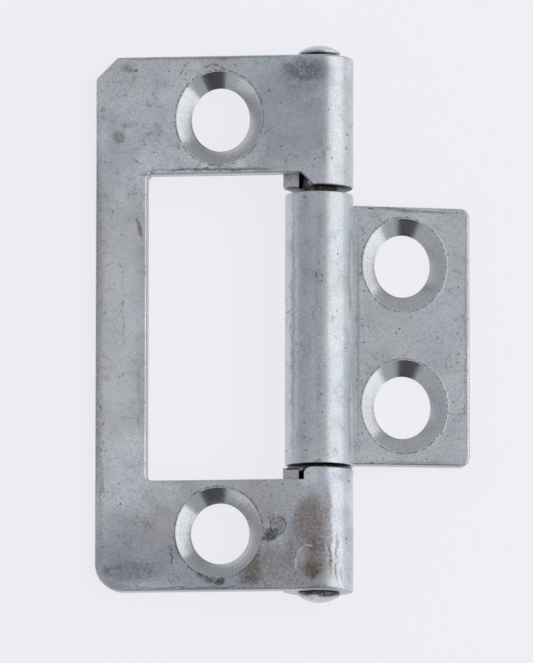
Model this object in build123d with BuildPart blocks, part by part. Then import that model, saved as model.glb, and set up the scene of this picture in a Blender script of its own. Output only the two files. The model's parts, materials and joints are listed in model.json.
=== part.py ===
from build123d import *
from math import asin, atan2, cos, hypot, radians, sin, tan
import os

os.makedirs("parts", exist_ok=True)

# Sheet and barrel: both leaves are the same sheet, rolled to the same knuckle.
sheet = 1.45
barrel_radius = 3.175
seam_gap = 0.06
edge_roll = 0.25
rim_chamfer = 0.25

# Outer leaf: a frame with a window. Its reach is from the pin's axis to its far edge.
leaf_length = 50.0
outer_reach = 20.55
rail_width = 4.8
arm_width = 10.7
window_corner = 0.5
chamfered_corner = 2.0
chamfer_round = 0.5
rounded_corner = 2.6
window_shift = -0.405

# Relief cuts beside the barrel, where the sheet steps from a leaf's edge out to its knuckle's end. The upper
# knuckle of the outer leaf is cut on a slant, the lower one square with a rounded corner.
relief_reach = 1.1
relief_round = 0.75
slant_reach = 1.6
slant_run = 1.4
knuckle_step = 1.175
upper_flap_step = 0.6
lower_flap_step = 0.5

# Inner leaf: a flap that nests in the window, its long knuckle between the two outer ones.
rail_clearance = 1.35
flap_corner = 0.85
flap_fall = 0.16
end_play = 0.76
middle_drop = 0.13

# Screw holes: the same countersink on both leaves, down to a narrow land at the back of the sheet.
hole_radius = 2.72
countersink_angle = 90
hole_land = 0.15
outer_hole_reach = 9.0
outer_hole_margin = 5.625
outer_hole_shift = -0.25
flap_hole_reach = 8.2
flap_hole_margin = 5.545

# Pin: a rod whose two ends are upset to domes.
pin_clearance = 0.06
head_overhang = 0.285
head_rim = 0.2
dome_height = 0.65
upper_head_gap = 0.4
lower_head_gap = 0.08

# Values that follow from the sizes above.
bore_radius = barrel_radius - sheet
lip_height = bore_radius - seam_gap
window_reach = outer_reach - rail_width
window_length = leaf_length - 2 * arm_width
barrel_gap = window_length - 2 * knuckle_step
middle_knuckle = barrel_gap - end_play
flap_reach = window_reach - rail_clearance
flap_length = middle_knuckle - upper_flap_step - lower_flap_step
outer_hole_spacing = leaf_length - 2 * outer_hole_margin
flap_hole_spacing = flap_length - 2 * flap_hole_margin
countersink_radius = hole_radius + (sheet - hole_land) * tan(radians(countersink_angle / 2))
pin_radius = bore_radius - pin_clearance
head_radius = pin_radius + head_overhang
dome_radius = (head_radius**2 + dome_height**2) / (2 * dome_height)
upper_seat = leaf_length / 2 + upper_head_gap
lower_seat = -leaf_length / 2 - lower_head_gap
upper_tip = upper_seat + head_rim + dome_height
lower_tip = lower_seat - head_rim - dome_height

# The hinge lies open on a level surface. The barrel and the flap lie flat on it, and the outer leaf slopes
# down from the top of the barrel until its far edge touches too.
slope = asin(barrel_radius / hypot(outer_reach, bore_radius)) + atan2(bore_radius, outer_reach)
down_leaf = Vector(-cos(slope), 0, -sin(slope))
leaf_normal = Vector(-sin(slope), 0, cos(slope))
along_pin = Vector(0, 1, 0)
over_flap = Vector(1, 0, 0)

# The origin is under the middle of the overall box, at the surface that the hinge lies on.
outer_shadow = (outer_reach - edge_roll) * cos(slope) + (barrel_radius - edge_roll) * sin(slope) + edge_roll
pin_x = (outer_shadow - flap_reach) / 2
leaf_y = -(upper_tip + lower_tip) / 2
window_y = leaf_y + window_shift
middle_y = window_y - middle_drop
flap_y = middle_y + (lower_flap_step - upper_flap_step) / 2
pin_centre = Vector(pin_x, leaf_y, barrel_radius)


def rolled_section(reach):
    """Return a leaf's section: flat sheet, its inner end rolled round the pin and butted on its own back."""
    with BuildSketch() as section:
        with BuildLine():
            Line((reach, barrel_radius), (0, barrel_radius))
            CenterArc((0, 0), barrel_radius, 90, 270)
            Polyline(
                (barrel_radius, 0),
                (barrel_radius, lip_height),
                (bore_radius, lip_height),
                (bore_radius, 0),
            )
            CenterArc((0, 0), bore_radius, 0, -270)
            Polyline((0, bore_radius), (reach, bore_radius), (reach, barrel_radius))
        make_face()
    return section.sketch


def outline_edges(leaf, normal_axis, reach_axis):
    """Return the outline edges of a leaf's countersunk face, which lies at the origin of normal_axis."""
    face = leaf.faces().filter_by(GeomType.PLANE).filter_by_position(
        normal_axis, -seam_gap / 2, seam_gap / 2
    )
    return face.edges().filter_by_position(reach_axis, seam_gap, leaf_length)


def countersink_pair(face, reach, middle, spacing):
    """Cut a leaf's two countersunk holes into face, on either side of middle along the pin."""
    with Locations(face):
        with Locations((reach, middle - spacing / 2), (reach, middle + spacing / 2)):
            CounterSinkHole(
                radius=hole_radius,
                counter_sink_radius=countersink_radius,
                counter_sink_angle=countersink_angle,
            )


# Outer leaf. Its section runs along the whole barrel, and the window and the barrel's gap are cut from it.
# On its face, x is 0 over the pin and falls towards the far edge.
outer_section = Plane(origin=pin_centre, x_dir=down_leaf, z_dir=along_pin)
outer_face = Plane(
    origin=Vector(pin_x, window_y, barrel_radius) + leaf_normal * barrel_radius,
    x_dir=down_leaf * -1,
    z_dir=leaf_normal,
)
outer_normal_axis = Axis(outer_face.origin, leaf_normal)
outer_reach_axis = Axis(pin_centre, down_leaf)
knuckle_end = barrel_gap / 2
slant_end = slant_run - slant_reach

with BuildPart() as outer_leaf:
    with BuildSketch(outer_section):
        add(rolled_section(outer_reach))
    extrude(amount=leaf_length / 2, both=True)

    corner_edges = outer_leaf.edges().filter_by(outer_normal_axis)
    chamfer(corner_edges.group_by(Axis.Y)[-1].sort_by(outer_reach_axis)[-1], length=chamfered_corner)
    corner_edges = outer_leaf.edges().filter_by(outer_normal_axis)
    fillet(corner_edges.group_by(Axis.Y)[0].sort_by(outer_reach_axis)[-1], radius=rounded_corner)
    corner_edges = outer_leaf.edges().filter_by(outer_normal_axis)
    fillet(corner_edges.group_by(Axis.Y)[-1].sort_by(outer_reach_axis)[-1], radius=chamfer_round)
    corner_edges = outer_leaf.edges().filter_by(outer_normal_axis).filter_by_position(
        Axis.Y, leaf_y + leaf_length / 2 - 2 * chamfered_corner, leaf_y + leaf_length / 2
    )
    fillet(corner_edges.sort_by(outer_reach_axis)[-1], radius=chamfer_round)

    # Window: beside the barrel its ends step in to the knuckles' ends.
    with BuildSketch(outer_face) as window:
        with BuildLine():
            Polyline(
                (-window_reach, window_length / 2),
                (-slant_reach, window_length / 2),
                (slant_end, knuckle_end),
                (slant_end, -knuckle_end),
                (-relief_reach, -knuckle_end),
                (-relief_reach, -window_length / 2),
                (-window_reach, -window_length / 2),
                close=True,
            )
        make_face()
        fillet(window.vertices().sort_by_distance((-relief_reach, -knuckle_end))[0], radius=relief_round)
        fillet(window.vertices().group_by(Axis.X)[0], radius=window_corner)
    extrude(amount=-(sheet + seam_gap / 2), mode=Mode.SUBTRACT)

    # Gap in the barrel for the middle knuckle.
    with BuildSketch(outer_face):
        Rectangle(2 * (barrel_radius + sheet), barrel_gap)
    extrude(amount=-(2 * barrel_radius + sheet), mode=Mode.SUBTRACT)

    # The press tool rounds the edges of the face, and with them the rims of the knuckles.
    fillet(outline_edges(outer_leaf, outer_normal_axis, outer_reach_axis), radius=edge_roll)
    countersink_pair(outer_face, -outer_hole_reach, outer_hole_shift - window_shift, outer_hole_spacing)

outer_leaf.part.label = "outer_leaf"
export_step(outer_leaf.part, "parts/outer_leaf.step")


# Inner leaf. The same section turned over, so that the outside of its roll lies on the surface and its
# countersinks open upwards too. On its face, x is 0 over the pin and grows towards the free edge.
inner_section = Plane(origin=(pin_x, middle_y, barrel_radius), x_dir=over_flap, z_dir=along_pin)
flap_face = Plane(origin=(pin_x, flap_y, sheet))
flap_normal_axis = Axis(flap_face.origin, flap_face.z_dir)
flap_reach_axis = Axis(pin_centre, over_flap)

with BuildSketch() as flap_outline:
    with BuildLine():
        Polyline(
            (0, flap_length / 2),
            (flap_reach, flap_length / 2 - flap_fall),
            (flap_reach, -flap_length / 2),
            (0, -flap_length / 2),
            close=True,
        )
    make_face()
    fillet(flap_outline.vertices().group_by(Axis.X)[-1], radius=flap_corner)

with BuildPart() as inner_leaf:
    with BuildSketch(inner_section):
        add(rolled_section(flap_reach))
    extrude(amount=middle_knuckle / 2, both=True)

    # The sheet beyond the knuckle is trimmed to the flap, whose upper edge falls a little outwards.
    with BuildSketch(flap_face.offset(seam_gap / 2)):
        with Locations((relief_reach, 0)):
            Rectangle(flap_reach, 2 * middle_knuckle, align=(Align.MIN, Align.CENTER))
        add(flap_outline.sketch, mode=Mode.SUBTRACT)
    extrude(amount=-(sheet + seam_gap), mode=Mode.SUBTRACT)

    fillet(outline_edges(inner_leaf, flap_normal_axis, flap_reach_axis), radius=edge_roll)
    knuckle_rims = inner_leaf.edges().filter_by(
        lambda edge: edge.geom_type == GeomType.CIRCLE and edge.radius > bore_radius + sheet / 2
    )
    chamfer(knuckle_rims, length=rim_chamfer)
    countersink_pair(flap_face, flap_hole_reach, 0, flap_hole_spacing)

inner_leaf.part.label = "inner_leaf"
export_step(inner_leaf.part, "parts/inner_leaf.step")


# Pin. A half section of the rod and its two domes, turned about the barrel's axis.
with BuildPart() as pin:
    with BuildSketch(Plane(origin=pin_centre)):
        with BuildLine():
            Line((0, lower_tip), (0, upper_tip))
            RadiusArc((0, upper_tip), (head_radius, upper_seat + head_rim), dome_radius)
            Polyline(
                (head_radius, upper_seat + head_rim),
                (head_radius, upper_seat),
                (pin_radius, upper_seat),
                (pin_radius, lower_seat),
                (head_radius, lower_seat),
                (head_radius, lower_seat - head_rim),
            )
            RadiusArc((head_radius, lower_seat - head_rim), (0, lower_tip), dome_radius)
        make_face()
    revolve(axis=Axis(pin_centre, along_pin))

pin.part.label = "pin"
export_step(pin.part, "parts/pin.step")
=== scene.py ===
"""Flush hinge, lying open: two pressed leaves of plated steel on a pin with two domed heads.

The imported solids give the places. Each visible piece is modelled afresh round them, in millimetres about
the pin's axis, and then set in place, with its worn plating, its sheared edges and its turned countersinks.
"""

import json
import logging
import math
from dataclasses import dataclass
from enum import Enum
from typing import Any, Callable

import bmesh
import bpy
from mathutils import Euler, Matrix, Vector


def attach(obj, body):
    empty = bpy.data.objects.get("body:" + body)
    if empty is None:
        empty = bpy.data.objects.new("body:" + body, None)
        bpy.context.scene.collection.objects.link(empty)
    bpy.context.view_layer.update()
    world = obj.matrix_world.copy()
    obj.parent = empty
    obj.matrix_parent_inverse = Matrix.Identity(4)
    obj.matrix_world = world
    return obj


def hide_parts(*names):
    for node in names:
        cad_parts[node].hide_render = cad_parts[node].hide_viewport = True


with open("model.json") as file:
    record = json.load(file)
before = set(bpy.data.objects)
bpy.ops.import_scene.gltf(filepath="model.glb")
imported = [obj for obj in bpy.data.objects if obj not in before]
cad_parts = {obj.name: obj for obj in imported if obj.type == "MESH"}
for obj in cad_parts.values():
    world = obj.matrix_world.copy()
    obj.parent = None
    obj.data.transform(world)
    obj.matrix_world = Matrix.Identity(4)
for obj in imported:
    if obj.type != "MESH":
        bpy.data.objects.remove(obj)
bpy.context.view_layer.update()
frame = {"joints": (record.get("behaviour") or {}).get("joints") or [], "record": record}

MM = 0.001
LOG = logging.getLogger("flush_hinge")

# Places that are nearer than the first are the same place, and corners nearer than the second are merged, in
# millimetres.
NEAR = 1e-3
TOUCHING = 1e-4

# Faces that meet at less than the first angle are one flat face. Edges under the second look smooth, and
# edges over the third are sharp ones that a press tool rolls over.
FLAT_ANGLE = math.radians(0.5)
SMOOTH_ANGLE = math.radians(40)
SHARP_ANGLE = math.radians(50)

# A noise swings about this value in each of its parts.
NOISE_MIDDLE = (0.5, 0.5, 0.5)

# A Mix node has sockets of the same names for numbers, vectors and colours, so they are found by their
# places.
NUMBER_A, NUMBER_B, NUMBER_OUT = 2, 3, 0
VECTOR_A, VECTOR_B, VECTOR_OUT = 4, 5, 1
COLOUR_A, COLOUR_B, COLOUR_OUT = 6, 7, 2


class Body(Enum):
    """The two bodies that turn against each other."""

    OUTER = "outer"
    INNER = "inner"


class Slot(Enum):
    """The record's material slots."""

    PLATE = "plated_steel"
    PIN = "pin_steel"


class Domain(Enum):
    """What a selection is made of."""

    VERTS = "VERT"
    EDGES = "EDGE"
    FACES = "FACE"


class Finish(Enum):
    """A leaf's finishes, by their places in its list of materials."""

    PLATE = 0
    EDGE = 1
    WALL = 2


class Tint(Enum):
    """The kinds of mark and of painted light on the plating, in the order that they lie over each other."""

    # The plating's blue tint, and painted cool shade: dark blue reflections by the barrel and a painted
    # shadow under the pin's head.
    HAZE = "haze"
    # Soot and dirt, and painted shade: dark reflection lines on the middle knuckle and shade along the
    # window's top edge.
    SOOT = "soot"
    RUST = "rust"
    # Dark spots, and painted shade on the pin in the knuckles' gaps, under its heads and at the lower
    # knuckle's rim.
    SPOT = "spot"
    RED = "red"
    # Pale wear, and painted light: a highlight on the window's top lip and a sheen over the left rail.
    PALE = "pale"


def linear(hex_colour: str) -> tuple[float, float, float, float]:
    """Turn an sRGB hex colour to linear.

    Args:
        hex_colour: six hex digits after a hash.

    Returns:
        Linear red, green and blue, and an alpha of one.
    """
    channels = [int(hex_colour[i : i + 2], 16) / 255 for i in (1, 3, 5)]
    red, green, blue = [c / 12.92 if c <= 0.04045 else ((c + 0.055) / 1.055) ** 2.4 for c in channels]
    return red, green, blue, 1.0


def feed(tree: bpy.types.NodeTree, node: bpy.types.Node, inputs: dict[str | int, Any]) -> None:
    """Give a node its inputs.

    Args:
        tree: the tree that the node is in.
        node: the node.
        inputs: for each input, a value, or the output socket that feeds it.
    """
    for key, value in inputs.items():
        if isinstance(value, bpy.types.NodeSocket):
            tree.links.new(value, node.inputs[key])
        else:
            node.inputs[key].default_value = value


def add_node(
    tree: bpy.types.NodeTree,
    kind: str,
    settings: dict[str, Any] | None = None,
    inputs: dict[str | int, Any] | None = None,
) -> bpy.types.Node:
    """Add a node with its settings, values and links.

    Args:
        tree: the tree that gets the node.
        kind: the node's type name.
        settings: properties of the node itself.
        inputs: for each input, a value, or the output socket that feeds it.

    Returns:
        The new node.
    """
    node = tree.nodes.new(kind)
    for key, value in (settings or {}).items():
        setattr(node, key, value)
    feed(tree, node, inputs or {})
    return node


def record_mount(name: str) -> dict[str, Any]:
    """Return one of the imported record's mounts, by its name."""
    return next(mount for mount in frame["record"]["mounts"] if mount["name"] == name)


@dataclass(frozen=True)
class Stock:
    """What both leaves share: the sheet, the barrel it is rolled to, and the countersunk holes."""

    sheet: float = 1.45
    barrel_radius: float = 3.175
    seam_gap: float = 0.06
    edge_roll: float = 0.25
    roll_degrees: float = 270.0
    hole_radius: float = record_mount("flap_screws")["dims"]["hole_r_mm"]
    hole_land: float = 0.15
    roll_steps: int = 72
    turn_steps: int = 96
    edge_steps: int = 4

    @property
    def bore_radius(self) -> float:
        """The inside of the roll."""
        return self.barrel_radius - self.sheet

    @property
    def lip_height(self) -> float:
        """How far the end of the roll stands above the pin's axis, under the back of the sheet."""
        return self.bore_radius - self.seam_gap

    @property
    def countersink_radius(self) -> float:
        """The rim of a countersink of 90 degrees, whose wall goes out as far as it goes up."""
        return self.hole_radius + self.sheet - self.hole_land


STOCK = Stock()
AXIS_M = Vector(next(j for j in frame["joints"] if j["name"] == "flap_turn")["pos_m"])
LEAF_NORMAL = Vector(record_mount("outer_leaf_screws")["axis"])
SLOPE = math.atan2(-LEAF_NORMAL.x, LEAF_NORMAL.z)


def is_sharp(edge: Any) -> bool:
    """Return whether an edge is one that a press tool rolls over."""
    return edge.is_manifold and edge.calc_face_angle(0.0) >= SHARP_ANGLE


class Workpiece:
    """A mesh under the tools, in millimetres about the pin's axis until it is set in place."""

    def __init__(self, name: str) -> None:
        """Take the newest primitive as the piece, and open it for editing.

        Args:
            name: the piece's name.
        """
        self.thing = bpy.context.active_object
        self.thing.name = name
        self.thing.data.name = name
        bpy.ops.object.mode_set(mode="EDIT")

    @classmethod
    def plane(
        cls, name: str, left: float, right: float, low: float, high: float, level: float
    ) -> "Workpiece":
        """Start from a flat rectangle.

        Args:
            name: the piece's name.
            left: the rectangle's lowest x.
            right: its highest x.
            low: its lowest y.
            high: its highest y.
            level: its z.

        Returns:
            The piece, in edit mode.
        """
        bpy.ops.object.select_all(action="DESELECT")
        bpy.ops.mesh.primitive_plane_add(size=1.0)
        piece = cls(name)
        bpy.ops.transform.resize(value=(right - left, high - low, 1.0), center_override=(0.0, 0.0, 0.0))
        bpy.ops.transform.translate(value=((left + right) / 2, (low + high) / 2, level))
        return piece

    @classmethod
    def turned(cls, name: str, stations: list[tuple[float, float]], steps: int, place: Vector) -> "Workpiece":
        """Start from a disc and draw it out along z, from station to station.

        Args:
            name: the piece's name.
            stations: the height and radius of each station, from the bottom up.
            steps: the number of sides.
            place: the foot of the turned axis.

        Returns:
            The closed piece, in edit mode.
        """
        bpy.ops.object.select_all(action="DESELECT")
        height, radius = stations[0]
        bpy.ops.mesh.primitive_circle_add(vertices=steps, radius=radius, fill_type="NGON")
        piece = cls(name)
        bpy.ops.transform.translate(value=place + Vector((0.0, 0.0, height)))
        for next_height, next_radius in stations[1:]:
            bpy.ops.mesh.extrude_region_move(
                TRANSFORM_OT_translate={"value": (0.0, 0.0, next_height - height)}
            )
            growth = next_radius / radius
            if growth != 1:
                bpy.ops.transform.resize(
                    value=(growth, growth, 1.0), center_override=place + Vector((0.0, 0.0, next_height))
                )
            height, radius = next_height, next_radius
        bpy.ops.mesh.select_all(action="SELECT")
        bpy.ops.mesh.normals_make_consistent(inside=False)
        return piece

    def select(self, domain: Domain, wanted: Callable[[Any], bool]) -> int:
        """Select what passes a test, and nothing else.

        Args:
            domain: corners, edges or faces.
            wanted: the test on each.

        Returns:
            How many are selected.
        """
        bpy.ops.mesh.select_mode(type=domain.value)
        bpy.ops.mesh.select_all(action="DESELECT")
        shape = bmesh.from_edit_mesh(self.thing.data)
        parts = {Domain.VERTS: shape.verts, Domain.EDGES: shape.edges, Domain.FACES: shape.faces}[domain]
        shape.normal_update()
        chosen = [part for part in parts if wanted(part)]
        for part in chosen:
            part.select_set(True)
        bmesh.update_edit_mesh(self.thing.data)
        if not chosen:
            raise ValueError(f"{self.thing.name}: nothing to select among its {domain.value} parts")
        return len(chosen)

    def cut(self, place: tuple[float, float, float], normal: tuple[float, float, float]) -> None:
        """Cut all faces along a plane.

        Args:
            place: a point on the plane.
            normal: the plane's normal.
        """
        bpy.ops.mesh.select_all(action="SELECT")
        bpy.ops.mesh.bisect(plane_co=place, plane_no=normal, use_fill=False)

    def drop_faces(self, wanted: Callable[[Any], bool]) -> None:
        """Delete the faces that pass a test, and join what is left flat to whole faces.

        Args:
            wanted: the test on each face.
        """
        self.select(Domain.FACES, wanted)
        bpy.ops.mesh.delete(type="FACE")
        bpy.ops.mesh.select_all(action="SELECT")
        bpy.ops.mesh.dissolve_limited(angle_limit=FLAT_ANGLE)

    def corner(self, wanted: Callable[[Any], bool], size: float, steps: int) -> None:
        """Cut or round flat corners.

        Args:
            wanted: the test on each corner.
            size: how far along the sides the cut starts.
            steps: one for a straight cut, more for a round one.
        """
        self.select(Domain.VERTS, wanted)
        bpy.ops.mesh.bevel(offset=size, segments=steps, profile=0.5, affect="VERTICES")

    def round_edges(self, wanted: Callable[[Any], bool], size: float, steps: int) -> None:
        """Round the edges that pass a test.

        Args:
            wanted: the test on each edge.
            size: the width that the round takes from each side.
            steps: how many facets it has.
        """
        self.select(Domain.EDGES, wanted)
        bpy.ops.mesh.bevel(offset=size, segments=steps, profile=0.5, affect="EDGES")

    def modify(self, kind: str, **settings: Any) -> None:
        """Add a modifier, apply it, and go on editing.

        Args:
            kind: the modifier's type.
            settings: its properties.
        """
        bpy.ops.object.mode_set(mode="OBJECT")
        bpy.context.view_layer.objects.active = self.thing
        modifier = self.thing.modifiers.new(kind.title(), kind)
        for key, value in settings.items():
            setattr(modifier, key, value)
        bpy.ops.object.modifier_apply(modifier=modifier.name)
        bpy.ops.object.mode_set(mode="EDIT")

    def subtract(self, cutter: "Workpiece") -> None:
        """Cut another workpiece out of this one, and throw the cutter away.

        Args:
            cutter: the closed workpiece to cut with.
        """
        bpy.ops.object.mode_set(mode="OBJECT")
        self.modify("BOOLEAN", operation="DIFFERENCE", solver="EXACT", object=cutter.thing)
        bpy.data.objects.remove(cutter.thing)

    def dress(self, finishes: list[bpy.types.Material]) -> None:
        """Give the piece its materials, the first for all of it and the others for faces to be assigned."""
        for material in finishes:
            self.thing.data.materials.append(material)

    def assign(self, finish: Finish, wanted: Callable[[Any], bool]) -> None:
        """Give one of the piece's finishes to the faces that pass a test.

        Args:
            finish: the finish.
            wanted: the test on each face.
        """
        self.select(Domain.FACES, wanted)
        self.thing.active_material_index = finish.value
        bpy.ops.object.material_slot_assign()

    def set_in_place(self, turn: float, body: Body, slot: Slot, node: str) -> bpy.types.Object:
        """Turn the piece about the pin's axis, move it to its place in metres, and let it ride.

        Args:
            turn: the turn about y, in radians.
            body: the body that it rides on.
            slot: the material slot it stands for in the record; not used.
            node: the CAD node that it stands for.

        Returns:
            The finished piece, its object at the origin.
        """
        bpy.ops.object.mode_set(mode="OBJECT")
        bpy.ops.object.select_all(action="DESELECT")
        self.thing.select_set(True)
        bpy.context.view_layer.objects.active = self.thing
        self.thing.matrix_world = (
            Matrix.Translation(AXIS_M) @ Matrix.Rotation(turn, 4, "Y") @ Matrix.Scale(MM, 4)
        )
        bpy.ops.object.transform_apply(location=True, rotation=True, scale=True)
        bpy.ops.object.shade_smooth_by_angle(angle=SMOOTH_ANGLE)
        self.modify("WEIGHTED_NORMAL", weight=50, keep_sharp=True)
        bpy.ops.object.mode_set(mode="OBJECT")
        self.thing.select_set(False)
        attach(self.thing, body.value)
        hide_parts(node)
        return self.thing


@dataclass(frozen=True)
class TintLook:
    """How one kind of mark looks: its colour, how far the metal shows in it, and how far it breaks up."""

    colour: str
    metallic: float
    roughness: float
    broken: float


# The haze, soot, spot and pale looks colour painted shade, reflections and highlights as well as marks.
TINT_LOOKS = {
    Tint.HAZE: TintLook("#8890A2", metallic=1.0, roughness=0.36, broken=0.2),
    Tint.SOOT: TintLook("#68686D", metallic=0.75, roughness=0.42, broken=0.45),
    Tint.RUST: TintLook("#87735F", metallic=0.5, roughness=0.55, broken=0.4),
    Tint.SPOT: TintLook("#463E38", metallic=0.4, roughness=0.55, broken=0.35),
    Tint.RED: TintLook("#8E4A42", metallic=0.3, roughness=0.55, broken=0.3),
    Tint.PALE: TintLook("#F2F1EE", metallic=0.9, roughness=0.4, broken=0.4),
}


# Stains on the plating, and painted shade, reflections and highlights laid on like them.
@dataclass(frozen=True)
class StainAndPaintedLight:
    """A mark on the plating, by its place in millimetres from the pin's axis and the hinge's middle.

    It is an oval, turned anticlockwise by turn degrees. Where ring gives a width, it is only the oval's
    outline, and where z gives a height, it lies at that height and not on the surface.
    """

    what: str
    tint: Tint
    x: float
    y: float
    half_width: float
    half_height: float
    strength: float
    turn: float = 0.0
    ring: float = 0.0
    z: float | None = None


@dataclass(frozen=True)
class SeenMark:
    """A mark as it is seen in the photograph, with its middle and half sizes in pixels of its frame.

    The frame is 533 pixels wide and 663 high. The marks were picked and placed.
    """

    what: str
    tint: Tint
    px: float
    py: float
    half_width_px: float
    half_height_px: float
    strength: float
    turn: float = 0.0
    ring: float = 0.0


@dataclass(frozen=True)
class PhotoFrame:
    """How one face of the hinge lies in the photograph.

    axis_px and middle_px are where the pin's axis and the hinge's middle fall. The scales, across the pin and
    along it, are in pixels a millimetre. The marks' strengths are raised to the contrast, so that faint marks
    stay faint.
    """

    axis_px: float
    middle_px: float
    across: float
    along: float
    contrast: float = 1.6

    def placed(self, marks: tuple[SeenMark, ...]) -> tuple[StainAndPaintedLight, ...]:
        """Lay marks seen in the photograph out on the face.

        Args:
            marks: the marks, in pixels.

        Returns:
            The same marks in millimetres, with their strengths raised to the contrast.
        """
        return tuple(
            StainAndPaintedLight(
                mark.what,
                mark.tint,
                (mark.px - self.axis_px) / self.across,
                (self.middle_px - mark.py) / self.along,
                mark.half_width_px / self.across,
                mark.half_height_px / self.along,
                mark.strength**self.contrast,
                mark.turn,
                mark.ring,
            )
            for mark in marks
        )


OUTER_FACE = PhotoFrame(axis_px=315.5, middle_px=323.1, across=10.7, along=10.7)
BARREL_TOP = PhotoFrame(axis_px=323.8, middle_px=320.7, across=11.2, along=10.7)
FLAP_FACE = PhotoFrame(axis_px=316.7, middle_px=329.5, across=10.64, along=10.64)


@dataclass(frozen=True)
class Hole:
    """A countersunk hole, by its place in millimetres and how far the punch pulled it out of round."""

    x: float
    y: float
    stretch_x: float = 1.0
    stretch_y: float = 1.0


TOP_ARM_MARKS = (
    # Painted cool reflections, darker and bluer, beside the barrel and on the upper knuckle.
    SeenMark("painted cool reflection beside the barrel", Tint.HAZE, 290, 112, 52, 62, 0.5),
    SeenMark("painted cool reflection on the upper knuckle", Tint.HAZE, 320, 120, 14, 60, 0.35),
    SeenMark("dirt along the top edge", Tint.SOOT, 200, 57.5, 96, 2.2, 0.55),
    # A painted shadow, bluish, under the pin's head.
    SeenMark("painted blue shadow under the pin's head", Tint.HAZE, 303, 76, 38, 26, 0.72),
    SeenMark("smear under the pin's head", Tint.SOOT, 305, 72, 25, 14, 0.72),
    SeenMark("smear's left end", Tint.SOOT, 291, 70, 12, 9, 0.6),
    SeenMark("smear's faint foot", Tint.SOOT, 306, 94, 24, 28, 0.34),
    SeenMark("brown patch by the chamfer", Tint.RUST, 128, 67.5, 9, 5, 0.62, turn=-18),
    SeenMark("dark dot in that patch", Tint.SPOT, 136, 69.5, 1.8, 1.8, 0.8),
    SeenMark("brown dash below it", Tint.RUST, 134, 77, 2, 5, 0.5, turn=-15),
    SeenMark("scratch by the chamfer", Tint.SOOT, 118, 80, 13, 0.8, 0.5),
    SeenMark("nick at the top edge", Tint.SPOT, 185.5, 63.5, 1.1, 4.5, 0.7, turn=-35),
    SeenMark("nick below it", Tint.SPOT, 181, 72, 1.1, 5.5, 0.65, turn=-22),
    SeenMark("nick at the rim", Tint.SPOT, 184.5, 79.3, 4.2, 1, 0.6, turn=-15),
    SeenMark("brown dash over the hole, left", Tint.RUST, 208, 66.5, 4.5, 1.2, 0.9, turn=20),
    SeenMark("brown dash over the hole, middle", Tint.RUST, 216, 65, 5, 1.2, 0.9, turn=-8),
    SeenMark("brown dash over the hole, right", Tint.RUST, 223, 67.5, 4, 1.2, 0.85, turn=-35),
    SeenMark("rubbed patch over the hole", Tint.PALE, 196, 66, 7, 5, 0.42),
    SeenMark("brown freckle right of the hole", Tint.RUST, 270, 91, 2, 2, 0.8),
    SeenMark("brown blot at the left edge", Tint.RUST, 103, 108, 3, 3, 0.62),
    SeenMark("brown blot over the rail", Tint.RUST, 118.5, 136, 6.5, 8, 0.72, turn=8),
    SeenMark("brown trail from it", Tint.RUST, 131, 124, 11, 3.5, 0.42, turn=12),
    SeenMark("red scratch at the window's corner", Tint.RED, 137, 161, 0.8, 5, 0.9, turn=32),
    SeenMark("scuff over the window, left", Tint.SPOT, 203, 161, 6, 1, 0.7, turn=-25),
    SeenMark("scuff over the window, middle", Tint.SPOT, 217, 165.5, 8, 1, 0.7),
    SeenMark("scuff over the window, right", Tint.SPOT, 232, 161.5, 6, 1, 0.7, turn=28),
    # Painted shade with dirt along the window's top edge, and a painted highlight on its rounded lip below.
    SeenMark("painted shade and dirt over the window", Tint.SOOT, 215, 170, 72, 2, 0.78),
    SeenMark("painted highlight on the window's lip", Tint.PALE, 215, 174, 70, 1.2, 0.6),
    SeenMark("brown mark on the upper knuckle", Tint.RUST, 323.5, 157, 3, 7, 0.55),
)
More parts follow.
